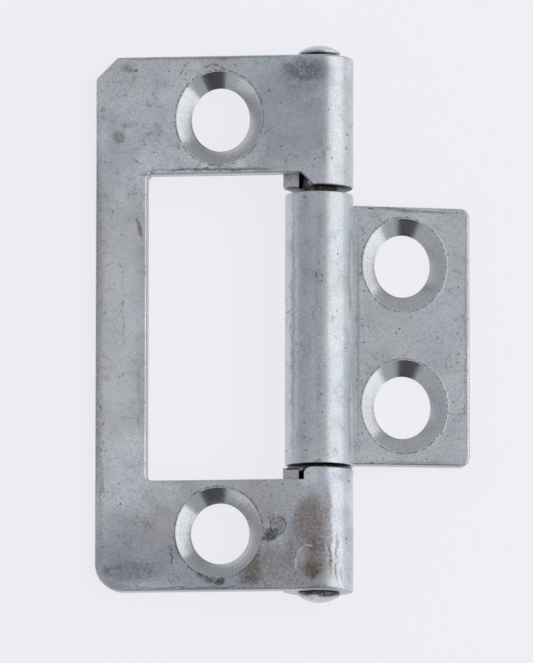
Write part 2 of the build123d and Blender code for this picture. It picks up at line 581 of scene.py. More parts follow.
LEFT_RAIL_MARKS = (
    # A painted sheen, lighter over the whole left rail.
    SeenMark("painted sheen over the left rail", Tint.PALE, 120, 330, 24, 150, 0.55),
    SeenMark("brown left margin", Tint.RUST, 98, 330, 4.5, 250, 0.5),
    SeenMark("soot inside the margin", Tint.SOOT, 101, 340, 3.5, 200, 0.38),
    SeenMark("dark left edge", Tint.SOOT, 97, 330, 1.6, 250, 0.6),
    SeenMark("head of the rust run by the window", Tint.SPOT, 137, 219, 1.5, 2.4, 0.8),
    SeenMark("rust run by the window", Tint.RUST, 139.8, 229, 2.3, 9.5, 0.9, turn=8),
    SeenMark("brown dot above the run", Tint.RUST, 140.2, 204, 1.1, 2, 0.6),
    SeenMark("dot in the rail, upper", Tint.SPOT, 113.3, 210.2, 1.3, 1.6, 0.75),
    SeenMark("dot in the rail, second", Tint.SPOT, 114.1, 227, 1.3, 1.3, 0.65),
    SeenMark("head of the chain of dots", Tint.SPOT, 121.3, 266.4, 2, 1.8, 0.75),
    SeenMark("chain's faint line", Tint.RUST, 122.8, 283, 0.9, 12, 0.5),
    SeenMark("chain's first dash", Tint.SPOT, 122.7, 302, 1.7, 3.5, 0.85),
    SeenMark("chain's second dash", Tint.RUST, 121.6, 309.5, 1.1, 4, 0.8, turn=-8),
    SeenMark("chain's third dash", Tint.SPOT, 123.2, 318, 1, 4.5, 0.7, turn=10),
    SeenMark("chain's fourth dash", Tint.RUST, 124, 328, 1.1, 6, 0.8),
    SeenMark("chain's last dash", Tint.RUST, 124, 342.8, 1.2, 4, 0.75),
    SeenMark("dot under the chain", Tint.SPOT, 124.1, 373.9, 1.6, 1.7, 0.85),
    SeenMark("brown graze, upper", Tint.RUST, 106, 356.7, 5, 2.4, 0.62, turn=-38),
    SeenMark("brown graze, lower", Tint.RUST, 107.7, 377.2, 6, 3.6, 0.6, turn=-25),
    SeenMark("brown shade between the grazes", Tint.RUST, 110.5, 368, 6, 5, 0.42),
    SeenMark("brown shade along the window", Tint.RUST, 139.2, 375, 2.2, 30, 0.34),
    SeenMark("dash at the left edge, first", Tint.SPOT, 101.6, 406.7, 1, 3, 0.7, turn=20),
    SeenMark("dash at the left edge, second", Tint.SPOT, 103.8, 424.4, 1.2, 2.2, 0.65),
    SeenMark("dash at the left edge, third", Tint.SPOT, 104.3, 442.2, 1.3, 2.4, 0.65, turn=30),
    SeenMark("dash at the left edge, fourth", Tint.SPOT, 102, 449.5, 1.2, 2.8, 0.6, turn=-10),
    SeenMark("sooty foot of the left edge", Tint.SOOT, 102.7, 478, 2.5, 16, 0.5),
    SeenMark("scuff in the rail, upper", Tint.SOOT, 108.6, 263.3, 6, 1.5, 0.55, turn=8),
    SeenMark("scuff in the rail, middle", Tint.SOOT, 109.7, 287.8, 4, 2.4, 0.5),
    SeenMark("scuff in the rail, lower", Tint.SOOT, 104.7, 312.8, 2, 2, 0.6),
)
LOWER_ARM_MARKS = (
    SeenMark("blue haze along the lower edge", Tint.HAZE, 225, 566, 120, 38, 0.66),
    SeenMark("blue haze by the lower knuckle", Tint.HAZE, 290, 545, 50, 60, 0.5),
    SeenMark("warm cast over the arm", Tint.RUST, 215, 520, 110, 60, 0.36),
    SeenMark("blue corner", Tint.HAZE, 122, 560, 40, 40, 0.62),
    SeenMark("blue haze above the corner", Tint.HAZE, 130, 530, 30, 26, 0.42),
    SeenMark("sooty cloud in the corner", Tint.SOOT, 134, 571, 34, 13, 0.56),
    SeenMark("soot at its left", Tint.SOOT, 116, 572, 16, 8, 0.5),
    SeenMark("dark blot in the corner", Tint.SOOT, 108, 570, 5.5, 4, 0.65),
    SeenMark("soot along the rounded corner", Tint.SOOT, 120, 585, 14, 4, 0.45, turn=-12),
    SeenMark("brown margin of the arm", Tint.RUST, 101, 520, 4, 50, 0.45),
    SeenMark("dark streak left of the hole", Tint.SOOT, 173, 556, 1.3, 10, 0.8),
    SeenMark("soot under the hole", Tint.SOOT, 207, 578, 13, 6, 0.62, turn=-20),
    SeenMark("black blot under the hole", Tint.SPOT, 219.5, 582, 6, 4, 0.9),
    SeenMark("black dash at the rim", Tint.SPOT, 201, 575, 5, 2, 0.75, turn=-35),
    SeenMark("black dash by the blot", Tint.SPOT, 210, 580, 5, 2.4, 0.7, turn=-25),
    SeenMark("red speck in the hole's rim", Tint.RED, 216, 565, 2.6, 1.2, 0.9),
    SeenMark("soot right of the hole", Tint.SOOT, 252, 570, 12, 18, 0.82),
    SeenMark("brown over that soot", Tint.RUST, 254, 568, 13, 22, 0.56),
    SeenMark("brown run towards the knuckle", Tint.RUST, 288, 568, 60, 26, 0.56),
    SeenMark("dark lower edge of the run", Tint.SPOT, 249, 581, 14, 6, 0.5),
    SeenMark("dark upper tip of the run", Tint.SPOT, 258, 556, 4, 9, 0.42),
    SeenMark("brown band by the lobe", Tint.RUST, 289, 556, 7, 20, 0.62),
    SeenMark("brown lower edge by the knuckle", Tint.RUST, 300, 584, 32, 6, 0.62),
    SeenMark("hook's filled head", Tint.SOOT, 279, 527, 8.5, 9, 0.62),
    SeenMark("hook's outline", Tint.SPOT, 278.5, 527, 8.3, 8.8, 0.82, ring=0.14),
    SeenMark("hook's tail", Tint.SOOT, 271, 535, 12.5, 7.5, 1, turn=34),
    SeenMark("hook's dark core", Tint.SPOT, 270, 536.5, 9.5, 4.6, 0.62, turn=34),
    SeenMark("dot above the hook", Tint.SPOT, 270, 519, 1.5, 1.5, 0.7),
    SeenMark("dot at the tail's tip", Tint.SPOT, 263, 541, 1.5, 1.5, 0.7),
    SeenMark("dot over the hole's right", Tint.SPOT, 251.5, 507.5, 1, 1.6, 0.7),
    SeenMark("dirt along the bottom edge", Tint.SOOT, 200, 588, 96, 1.6, 0.6),
)
LOWER_KNUCKLE_MARKS = (
    SeenMark("brown stain, upper", Tint.RUST, 311, 526, 21, 36, 0.72),
    SeenMark("brown stain, lower", Tint.RUST, 312, 562, 21, 30, 0.7),
    SeenMark("stain's head on the roll", Tint.RUST, 327, 512, 6, 26, 0.66),
    SeenMark("stain's streak on the roll", Tint.RUST, 329.5, 538, 3.5, 20, 0.62),
    SeenMark("stain's thin streak", Tint.RUST, 336, 548, 1.6, 16, 0.6),
    SeenMark("dark patch over the lobe", Tint.SPOT, 318, 547, 11, 9, 0.5),
    SeenMark("lobe's dark fill", Tint.SOOT, 313, 569, 11, 12, 0.85),
    SeenMark("blue haze under the stain", Tint.HAZE, 308, 540, 26, 50, 0.7),
    SeenMark("lobe's core", Tint.SPOT, 310, 571, 9, 7, 0.5),
    SeenMark("lobe's foot", Tint.SPOT, 313, 575, 8, 7, 0.6),
    SeenMark("lobe's pale rim, left", Tint.PALE, 296.6, 564, 1.1, 8, 0.66),
    SeenMark("lobe's pale rim, shoulder", Tint.PALE, 299.5, 552.5, 1.1, 5, 0.66, turn=-38),
    SeenMark("lobe's pale rim, top", Tint.PALE, 308, 548.3, 6, 1.1, 0.6),
    SeenMark("lobe's pale shoulder", Tint.PALE, 301, 557, 5, 9, 0.4),
    SeenMark("rust streak on the roll, first", Tint.RUST, 330, 560, 2.4, 20, 0.8),
    SeenMark("rust streak on the roll, second", Tint.RUST, 335.5, 572, 1.2, 11, 0.75),
    SeenMark("rust streak on the roll, third", Tint.RUST, 340.5, 575, 1, 8, 0.65),
    SeenMark("soot by the relief", Tint.SOOT, 303, 488, 14, 5, 0.36),
    SeenMark("soot down the knuckle's side", Tint.SOOT, 300, 530, 20, 55, 0.34),
    # Painted shade with dirt at the knuckle's lower rim, over the pin's head.
    SeenMark("painted shade and dirt at the knuckle's lower rim", Tint.SPOT, 320, 588, 24, 1.6, 0.6),
)
MIDDLE_KNUCKLE_MARKS = (
    # A painted cool reflection over the knuckle's near side, and a painted dark reflection line down it.
    SeenMark("painted cool reflection on the near side", Tint.HAZE, 306, 325, 12, 138, 0.42),
    SeenMark("painted dark reflection down the side", Tint.SOOT, 293.8, 325, 2.4, 132, 0.52),
    SeenMark("brown mark at the upper end", Tint.RUST, 305.6, 197, 3, 2.4, 0.6),
    # Darker in a faint band along the top of the knuckle.
    SeenMark("faint darker band along the top", Tint.SOOT, 318, 325, 5, 130, 0.36),
    SeenMark("thin scratch along the top", Tint.SOOT, 320.6, 226, 1.2, 12, 0.5),
    SeenMark("dark scuff, left", Tint.SOOT, 317, 274, 1.5, 6, 0.72),
    SeenMark("dark scuff, right", Tint.SOOT, 322.5, 276, 1.3, 4, 0.65),
    SeenMark("brown dash over the scuffs", Tint.RUST, 319.4, 263, 1.2, 2.4, 0.6),
    SeenMark("scuff in the middle", Tint.SOOT, 317.5, 300, 2, 10, 0.5),
    SeenMark("scuff's left end", Tint.SOOT, 313, 314, 2, 6, 0.45),
    SeenMark("dot on the near side", Tint.SPOT, 298.5, 351.6, 1.2, 1.2, 0.6),
    SeenMark("scuff in the lower half", Tint.SOOT, 317.5, 396, 3, 9, 0.5),
    SeenMark("faint brown shade", Tint.RUST, 307, 345, 6, 14, 0.35),
    SeenMark("dark mark at the lower end", Tint.SPOT, 318, 460.6, 4.5, 2, 0.6),
)
FLAP_MARKS = (
    SeenMark("dark top edge", Tint.SPOT, 410, 209.6, 56, 1, 0.62, turn=-3),
    SeenMark("soot under the top edge", Tint.SOOT, 410, 211, 56, 1.6, 0.6, turn=-3),
    SeenMark("nick in the top edge", Tint.SPOT, 370, 208.8, 4, 1.4, 0.8),
    SeenMark("soot at the upper left", Tint.SOOT, 374, 216, 8, 3, 0.42),
    SeenMark("dark right edge", Tint.SOOT, 465.5, 335, 1, 118, 0.5),
    SeenMark("dark bottom edge", Tint.SPOT, 410, 464, 52, 0.8, 0.6),
    SeenMark("soot over the bottom edge", Tint.SOOT, 410, 462, 52, 1.4, 0.5),
    SeenMark("nick in the bottom edge, left", Tint.SPOT, 371, 463.8, 5, 1, 0.7),
    SeenMark("nick in the bottom edge, right", Tint.SPOT, 440.5, 466.5, 2, 1.5, 0.7),
    # Darker in a narrow band along the flap beside the barrel.
    SeenMark("darker band beside the barrel", Tint.SOOT, 358, 330, 2.2, 118, 0.5),
    SeenMark("brown dash beside the barrel", Tint.RUST, 363, 241, 1, 2.2, 0.7),
    SeenMark("dot beside the barrel", Tint.SPOT, 361, 266, 1, 1.4, 0.65),
    SeenMark("blot beside the barrel", Tint.SOOT, 360, 276, 2.5, 3, 0.7),
    SeenMark("dash lower beside the barrel", Tint.SPOT, 361.9, 385, 0.8, 2.4, 0.6),
    SeenMark("dot between the holes", Tint.SPOT, 398.8, 328.8, 1.2, 1.2, 0.85),
    SeenMark("brown dash between the holes", Tint.RUST, 417.5, 342, 2.6, 1.1, 0.6),
    SeenMark("dash over the lower hole", Tint.SPOT, 402.5, 355.6, 0.9, 2.6, 0.55),
    SeenMark("brown shade in the corner", Tint.RUST, 453, 226, 4, 3.4, 0.34),
    SeenMark("red speck at the lower hole", Tint.RED, 440.8, 395.5, 2.2, 3.2, 0.8),
    SeenMark("dash under the red speck", Tint.SPOT, 443.4, 403.5, 1, 4.5, 0.6, turn=10),
    SeenMark("dot right of the red speck", Tint.SPOT, 453, 401.5, 1.4, 1.4, 0.7),
    SeenMark("dark dot below it", Tint.SPOT, 447.6, 413, 1.6, 1.4, 0.85),
    SeenMark("scratch from the dark dot", Tint.SOOT, 452.5, 413.8, 4, 0.8, 0.55),
    SeenMark("brown shade at the bottom", Tint.RUST, 396, 449, 8, 2, 0.36),
)
# Painted shade on the pin where it shows in the knuckles' gaps, and painted shade with dirt at the seats
# under its heads.
PIN_MARKS = (
    StainAndPaintedLight("painted shade on the pin in the upper gap", Tint.SPOT, 0.0, 12.47, 3.0, 0.8, 1.0, z=1.2),
    StainAndPaintedLight("painted shade on the pin in the lower gap", Tint.SPOT, 0.0, -13.41, 3.0, 0.8, 1.0, z=1.2),
    StainAndPaintedLight("painted shade and dirt under the upper head", Tint.SPOT, 0.0, 25.2, 3.0, 0.35, 1.0, z=1.2),
    StainAndPaintedLight("painted shade and dirt under the lower head", Tint.SPOT, 0.0, -25.1, 3.0, 0.5, 1.0, z=1.5),
)


@dataclass(frozen=True)
class Shading:
    """A shade laid over a colour where a pattern is strong.

    It starts to show where the pattern reaches start, and has its whole strength from full on.
    """

    shade: str
    start: float
    full: float
    strength: float = 1.0

    def over(
        self, tree: bpy.types.NodeTree, colour: Any, pattern: bpy.types.NodeSocket
    ) -> bpy.types.NodeSocket:
        """Lay the shade over a colour.

        Args:
            tree: the material's nodes.
            colour: the colour underneath, or the socket that gives it.
            pattern: the pattern that decides where it shows.

        Returns:
            The shaded colour.
        """
        factor = add_node(
            tree,
            "ShaderNodeMapRange",
            {"interpolation_type": "SMOOTHSTEP"},
            {"Value": pattern, "From Min": self.start, "From Max": self.full, "To Max": self.strength},
        ).outputs["Result"]
        return add_node(
            tree,
            "ShaderNodeMix",
            {"data_type": "RGBA"},
            {"Factor": factor, COLOUR_A: colour, COLOUR_B: linear(self.shade)},
        ).outputs[COLOUR_OUT]


@dataclass(frozen=True)
class PlacedFinish:
    """A finish whose pattern is laid out in millimetres about the pin's axis, turned with its leaf."""

    name: str
    turn: float = 0.0

    def start(self) -> tuple[bpy.types.Material, bpy.types.Node, bpy.types.NodeSocket]:
        """Begin the material.

        Returns:
            The material, its shader, and the place on the piece in millimetres.
        """
        material = bpy.data.materials.new(self.name)
        material.use_nodes = True
        tree = material.node_tree
        where = add_node(tree, "ShaderNodeTexCoord").outputs["Object"]
        place = add_node(
            tree,
            "ShaderNodeMapping",
            {"vector_type": "TEXTURE"},
            {"Vector": where, "Location": AXIS_M, "Rotation": (0.0, self.turn, 0.0), "Scale": (MM, MM, MM)},
        ).outputs["Vector"]
        return material, tree.nodes["Principled BSDF"], place

    def around_hole(
        self, tree: bpy.types.NodeTree, place: bpy.types.NodeSocket, hole: Hole
    ) -> tuple[bpy.types.NodeSocket, bpy.types.NodeSocket]:
        """Centre the pattern on a hole, with its height taken out.

        Args:
            tree: the material's nodes.
            place: the place on the piece in millimetres.
            hole: the hole.

        Returns:
            The place about the hole's axis, in millimetres, with the punch's stretch taken out, and how far
            from that axis it is.
        """
        centred = add_node(
            tree,
            "ShaderNodeMapping",
            {"vector_type": "TEXTURE"},
            {
                "Vector": place,
                "Location": (hole.x, hole.y, 0.0),
                "Scale": (hole.stretch_x, hole.stretch_y, 1.0),
            },
        ).outputs["Vector"]
        flat = add_node(
            tree, "ShaderNodeVectorMath", {"operation": "MULTIPLY"}, {0: centred, 1: (1.0, 1.0, 0.0)}
        ).outputs[0]
        radius = add_node(tree, "ShaderNodeVectorMath", {"operation": "LENGTH"}, {0: flat})
        return flat, radius.outputs["Value"]


@dataclass(frozen=True)
class DullZincPlate(PlacedFinish):
    """Electroplated zinc on pressed mild steel, gone dull in store.

    The plating is thin and follows the rolled sheet. The face is a soft satin with a bluish grey cast, cloudy
    where the bath passivated it, speckled where it is pitted, and brown where damp has reached the steel.
    """

    # The marks are stains and dirt, and painted shade, painted cool reflections and painted highlights.
    marks_and_painted_light: tuple[StainAndPaintedLight, ...] = ()
    holes: tuple[Hole, ...] = ()
    face_level: float = STOCK.barrel_radius
    barrel_from: float = 0.0
    base: str = "#D7D9DD"
    roughness: float = 0.31
    roughness_swing: float = 0.10

    # The passivated clouds are drawn out along the hinge, and the blotches and the mottle are not.
    cloud_mm: tuple[float, float, float] = (7.0, 9.8, 7.0)
    cool_cloud: Shading = Shading("#CAD1D8", 0.42, 0.62)
    warm_cloud: Shading = Shading("#CECFD2", 0.42, 0.62)
    blotch_mm: float = 2.6
    blotches: Shading = Shading("#9C9FA5", 0.44, 0.68, 0.30)
    mottle_mm: float = 1.3
    noise_roughness: float = 0.6

    # The grain of rolled sheet and the hairlines of handling are a few hundredths of a millimetre across.
    # That is finer than a pixel, so both are drawn coarser, and the pits too.
    grain_mm: float = 0.18
    grains: Shading = Shading("#9C9FA5", 0.40, 0.70, 0.42)
    pit_mm: float = 0.36
    pits: Shading = Shading("#9C9FA5", 0.33, 0.40, 0.60)
    hairline_mm: tuple[float, float, float] = (6.0, 0.12, 0.12)
    hairlines: Shading = Shading("#9C9FA5", 0.60, 0.72, 0.16)
    bump_strength: float = 0.35
    bump_mm: float = 0.03

    # A few rust freckles, in one cell out of five. Their core and reach are in parts of a cell.
    freckle: str = "#5E544B"
    freckle_mm: float = 1.5
    freckle_lot: float = 0.8
    freckle_core: float = 0.04
    freckle_reach: float = 0.09
    freckle_strength: float = 0.6

    # A mark is whole up to its core and gone at its reach, in parts of its half sizes. Its edge wanders by
    # the wobble, the speckle breaks it up, and it goes about as deep into the sheet as its depth.
    mark_core: float = 0.4
    mark_reach: float = 1.2
    mark_depth: float = 1.3
    wobble_mm: float = 0.35
    speckle_mm: float = 0.22
    speckle_low: float = 0.36
    speckle_high: float = 0.64

    # The punch raised a low burr round each countersink, and dirt has settled on it.
    burr_out: float = 0.12
    burr_half_width: float = 0.22
    burr_height: float = 1.5
    burr_dirt: Shading = Shading("#6A5E52", 0.34, 0.58, 0.75)

    def level_at(self, stain: StainAndPaintedLight) -> float:
        """Find the height of the surface under a mark.

        Args:
            stain: the mark.

        Returns:
            The mark's own height where it has one, and otherwise the sheet's face or the round of the barrel.
        """
        if stain.z is not None:
            return stain.z
        if self.barrel_from < stain.x < STOCK.barrel_radius:
            return math.sqrt(STOCK.barrel_radius**2 - stain.x**2)
        return self.face_level

    def noise(
        self,
        tree: bpy.types.NodeTree,
        place: bpy.types.NodeSocket,
        size: float | tuple[float, float, float],
        detail: float,
    ) -> bpy.types.Node:
        """Add a noise whose grains have a real size.

        Args:
            tree: the material's nodes.
            place: the place on the piece in millimetres.
            size: the grain's size in millimetres, one for all ways or one each along x, y and z.
            detail: how many finer layers it has.

        Returns:
            The noise.
        """
        sizes = (size, size, size) if isinstance(size, float) else size
        scaled = add_node(
            tree, "ShaderNodeVectorMath", {"operation": "DIVIDE"}, {0: place, 1: sizes}
        ).outputs[0]
        return add_node(
            tree,
            "ShaderNodeTexNoise",
            {},
            {"Vector": scaled, "Scale": 1.0, "Detail": detail, "Roughness": self.noise_roughness},
        )

    def mark_and_light_mask(
        self, tree: bpy.types.NodeTree, place: bpy.types.NodeSocket, tint: Tint
    ) -> bpy.types.NodeSocket | None:
        """Join the marks of one kind to one mask.

        Args:
            tree: the material's nodes.
            place: the place on the piece in millimetres, a little wobbled.
            tint: the kind.

        Returns:
            The mask, or None where there is no such mark.
        """
        total = None
        for stain in (mark for mark in self.marks_and_painted_light if mark.tint is tint):
            centre = Vector((stain.x, stain.y, self.level_at(stain)))
            size = Vector((stain.half_width, stain.half_height, self.mark_depth))
            if stain.turn:
                inside = add_node(
                    tree,
                    "ShaderNodeMapping",
                    {"vector_type": "TEXTURE"},
                    {
                        "Vector": place,
                        "Location": centre,
                        "Rotation": (0.0, 0.0, math.radians(stain.turn)),
                        "Scale": size,
                    },
                ).outputs["Vector"]
            else:
                growth = Vector([1 / part for part in size])
                inside = add_node(
                    tree,
                    "ShaderNodeVectorMath",
                    {"operation": "MULTIPLY_ADD"},
                    {0: place, 1: growth, 2: -centre * growth},
                ).outputs[0]
            away = add_node(
                tree, "ShaderNodeVectorMath", {"operation": "LENGTH", "label": stain.what}, {0: inside}
            ).outputs["Value"]
            core, reach = self.mark_core, self.mark_reach
            if stain.ring:
                core, reach = 0.0, stain.ring
                off = add_node(
                    tree, "ShaderNodeMath", {"operation": "SUBTRACT"}, {0: away, 1: 1.0}
                ).outputs[0]
                away = add_node(tree, "ShaderNodeMath", {"operation": "ABSOLUTE"}, {0: off}).outputs[0]
            mask = add_node(
                tree,
                "ShaderNodeMapRange",
                {"interpolation_type": "SMOOTHSTEP"},
                {"Value": away, "From Min": core, "From Max": reach, "To Min": stain.strength, "To Max": 0.0},
            ).outputs["Result"]
            if total is None:
                total = mask
            else:
                joined = add_node(tree, "ShaderNodeMath", {"operation": "MAXIMUM"}, {0: total, 1: mask})
                total = joined.outputs[0]
        return total

    def freckles(self, tree: bpy.types.NodeTree, place: bpy.types.NodeSocket) -> bpy.types.NodeSocket:
        """Scatter the freckles.

        Args:
            tree: the material's nodes.
            place: the place on the piece in millimetres.

        Returns:
            Their mask.
        """
        cells = add_node(
            tree,
            "ShaderNodeTexVoronoi",
            {"voronoi_dimensions": "2D"},
            {"Vector": place, "Scale": 1.0 / self.freckle_mm},
        ).outputs
        lot = add_node(tree, "ShaderNodeSeparateColor", {}, {"Color": cells["Color"]}).outputs["Red"]
        some = add_node(
            tree, "ShaderNodeMath", {"operation": "GREATER_THAN"}, {0: lot, 1: self.freckle_lot}
        ).outputs[0]
        dot = add_node(
            tree,
            "ShaderNodeMapRange",
            {"interpolation_type": "SMOOTHSTEP"},
            {
                "Value": cells["Distance"],
                "From Min": self.freckle_core,
                "From Max": self.freckle_reach,
                "To Min": self.freckle_strength,
                "To Max": 0.0,
            },
        ).outputs["Result"]
        return add_node(tree, "ShaderNodeMath", {"operation": "MULTIPLY"}, {0: some, 1: dot}).outputs[0]

    def burr_ring(
        self, tree: bpy.types.NodeTree, place: bpy.types.NodeSocket, hole: Hole, on_face: bpy.types.NodeSocket
    ) -> bpy.types.NodeSocket:
        """Find the burr round a hole.

        Args:
            tree: the material's nodes.
            place: the place on the piece in millimetres.
            hole: the hole.
            on_face: the mask of the sheet's face.

        Returns:
            The burr's mask, which stays on the face.
        """
        radius = self.around_hole(tree, place, hole)[1]
        crest = STOCK.countersink_radius + self.burr_out
        off = add_node(tree, "ShaderNodeMath", {"operation": "SUBTRACT"}, {0: radius, 1: crest}).outputs[0]
        away = add_node(tree, "ShaderNodeMath", {"operation": "ABSOLUTE"}, {0: off}).outputs[0]
        burr = add_node(
            tree,
            "ShaderNodeMapRange",
            {"interpolation_type": "SMOOTHSTEP"},
            {
                "Value": away,
                "From Min": 0.0,
                "From Max": self.burr_half_width,
                "To Min": 1.0,
                "To Max": 0.0,
            },
        ).outputs["Result"]
        return add_node(tree, "ShaderNodeMath", {"operation": "MULTIPLY"}, {0: burr, 1: on_face}).outputs[0]

    def lay_marks_and_painted_light(
        self,
        tree: bpy.types.NodeTree,
        place: bpy.types.NodeSocket,
        speckle: bpy.types.NodeSocket,
        coat: dict[str, Any],
    ) -> None:
        """Lay the marks over the plating, kind by kind: the stains, and the painted shade, reflections and
        highlights.

        Args:
            tree: the material's nodes.
            place: the place on the piece in millimetres, a little wobbled.
            speckle: the noise that breaks the marks up.
            coat: the plating's colour, metallic and roughness, which the marks change.
        """
        for tint, look in TINT_LOOKS.items():
            mask = self.mark_and_light_mask(tree, place, tint)
            if mask is None:
                continue
            thick = add_node(
                tree,
                "ShaderNodeMapRange",
                {},
                {
                    "Value": speckle,
                    "From Min": self.speckle_low,
                    "From Max": self.speckle_high,
                    "To Min": 1.0 - look.broken,
                    "To Max": 1.0 + look.broken,
                },
            ).outputs["Result"]
            factor = add_node(
                tree, "ShaderNodeMath", {"operation": "MULTIPLY", "use_clamp": True}, {0: mask, 1: thick}
            ).outputs[0]
            coat["Base Color"] = add_node(
                tree,
                "ShaderNodeMix",
                {"data_type": "RGBA"},
                {"Factor": factor, COLOUR_A: coat["Base Color"], COLOUR_B: linear(look.colour)},
            ).outputs[COLOUR_OUT]
            for key, value in (("Metallic", look.metallic), ("Roughness", look.roughness)):
                coat[key] = add_node(
                    tree,
                    "ShaderNodeMix",
                    {"data_type": "FLOAT"},
                    {"Factor": factor, NUMBER_A: coat[key], NUMBER_B: value},
                ).outputs[NUMBER_OUT]

    def raise_burrs(
        self,
        tree: bpy.types.NodeTree,
        place: bpy.types.NodeSocket,
        speckle: bpy.types.NodeSocket,
        coat: dict[str, Any],
        height: bpy.types.NodeSocket,
    ) -> bpy.types.NodeSocket:
        """Raise the burrs round the holes, and lay the dirt on them.

        Args:
            tree: the material's nodes.
            place: the place on the piece in millimetres.
            speckle: the noise that breaks the dirt up.
            coat: the plating's colour, metallic and roughness, whose colour the dirt changes.
            height: the height of the plating's own grain.

        Returns:
            The height with the burrs on it.
        """
        level = add_node(tree, "ShaderNodeSeparateXYZ", {}, {"Vector": place}).outputs["Z"]
        on_face = add_node(
            tree,
            "ShaderNodeMath",
            {"operation": "COMPARE"},
            {0: level, 1: self.face_level, 2: STOCK.sheet / 2},
        ).outputs[0]
        for hole in self.holes:
            burr = self.burr_ring(tree, place, hole, on_face)
            height = add_node(
                tree,
                "ShaderNodeMath",
                {"operation": "MULTIPLY_ADD"},
                {0: burr, 1: self.burr_height, 2: height},
            ).outputs[0]
            dirt = add_node(
                tree, "ShaderNodeMath", {"operation": "MULTIPLY"}, {0: burr, 1: speckle}
            ).outputs[0]
            coat["Base Color"] = self.burr_dirt.over(tree, coat["Base Color"], dirt)
        return height

    def material(self) -> bpy.types.Material:
        """Build the material.

        Returns:
            The plating with its marks.
        """
        material, shader, place = self.start()
        tree = material.node_tree
        cloud = self.noise(tree, place, self.cloud_mm, detail=3.0).outputs["Color"]
        blotch = self.noise(tree, place, self.blotch_mm, detail=4.0).outputs["Fac"]
        mottle = self.noise(tree, place, self.mottle_mm, detail=4.0).outputs
        pit = self.noise(tree, place, self.pit_mm, detail=2.0).outputs["Fac"]
        grain = self.noise(tree, place, self.grain_mm, detail=2.0).outputs["Fac"]
        hairline = self.noise(tree, place, self.hairline_mm, detail=2.0).outputs["Fac"]
        cloud_parts = add_node(tree, "ShaderNodeSeparateColor", {}, {"Color": cloud}).outputs
        pitted = add_node(
            tree, "ShaderNodeMath", {"operation": "MULTIPLY"}, {0: pit, 1: mottle["Fac"]}
        ).outputs[0]
        colour: Any = linear(self.base)
        for shading, pattern in (
            (self.cool_cloud, cloud_parts["Red"]),
            (self.warm_cloud, cloud_parts["Green"]),
            (self.blotches, blotch),
            (self.grains, grain),
            (self.pits, pitted),
            (self.hairlines, hairline),
        ):
            colour = shading.over(tree, colour, pattern)
        colour = add_node(
            tree,
            "ShaderNodeMix",
            {"data_type": "RGBA"},
            {"Factor": self.freckles(tree, place), COLOUR_A: colour, COLOUR_B: linear(self.freckle)},
        ).outputs[COLOUR_OUT]
        rough = add_node(
            tree,
            "ShaderNodeMapRange",
            {},
            {
                "Value": mottle["Fac"],
                "To Min": self.roughness - self.roughness_swing,
                "To Max": self.roughness + self.roughness_swing,
            },
        ).outputs["Result"]
        drift = add_node(
            tree,
            "ShaderNodeVectorMath",
            {"operation": "SUBTRACT"},
            {0: mottle["Color"], 1: NOISE_MIDDLE},
        ).outputs[0]
        wobbled = add_node(
            tree,
            "ShaderNodeVectorMath",
            {"operation": "MULTIPLY_ADD"},
            {0: drift, 1: (self.wobble_mm * 2, self.wobble_mm * 2, 0.0), 2: place},
        ).outputs[0]
        speckle = self.noise(tree, place, self.speckle_mm, detail=2.0).outputs["Fac"]
        coat = {"Base Color": colour, "Metallic": 1.0, "Roughness": rough}
        self.lay_marks_and_painted_light(tree, wobbled, speckle, coat)
        height = self.raise_burrs(tree, place, speckle, coat, grain)
        bump = add_node(
            tree,
            "ShaderNodeBump",
            {},
            {"Strength": self.bump_strength, "Distance": self.bump_mm * MM, "Height": height},
        ).outputs["Normal"]
        feed(tree, shader, {**coat, "Normal": bump})
        return material


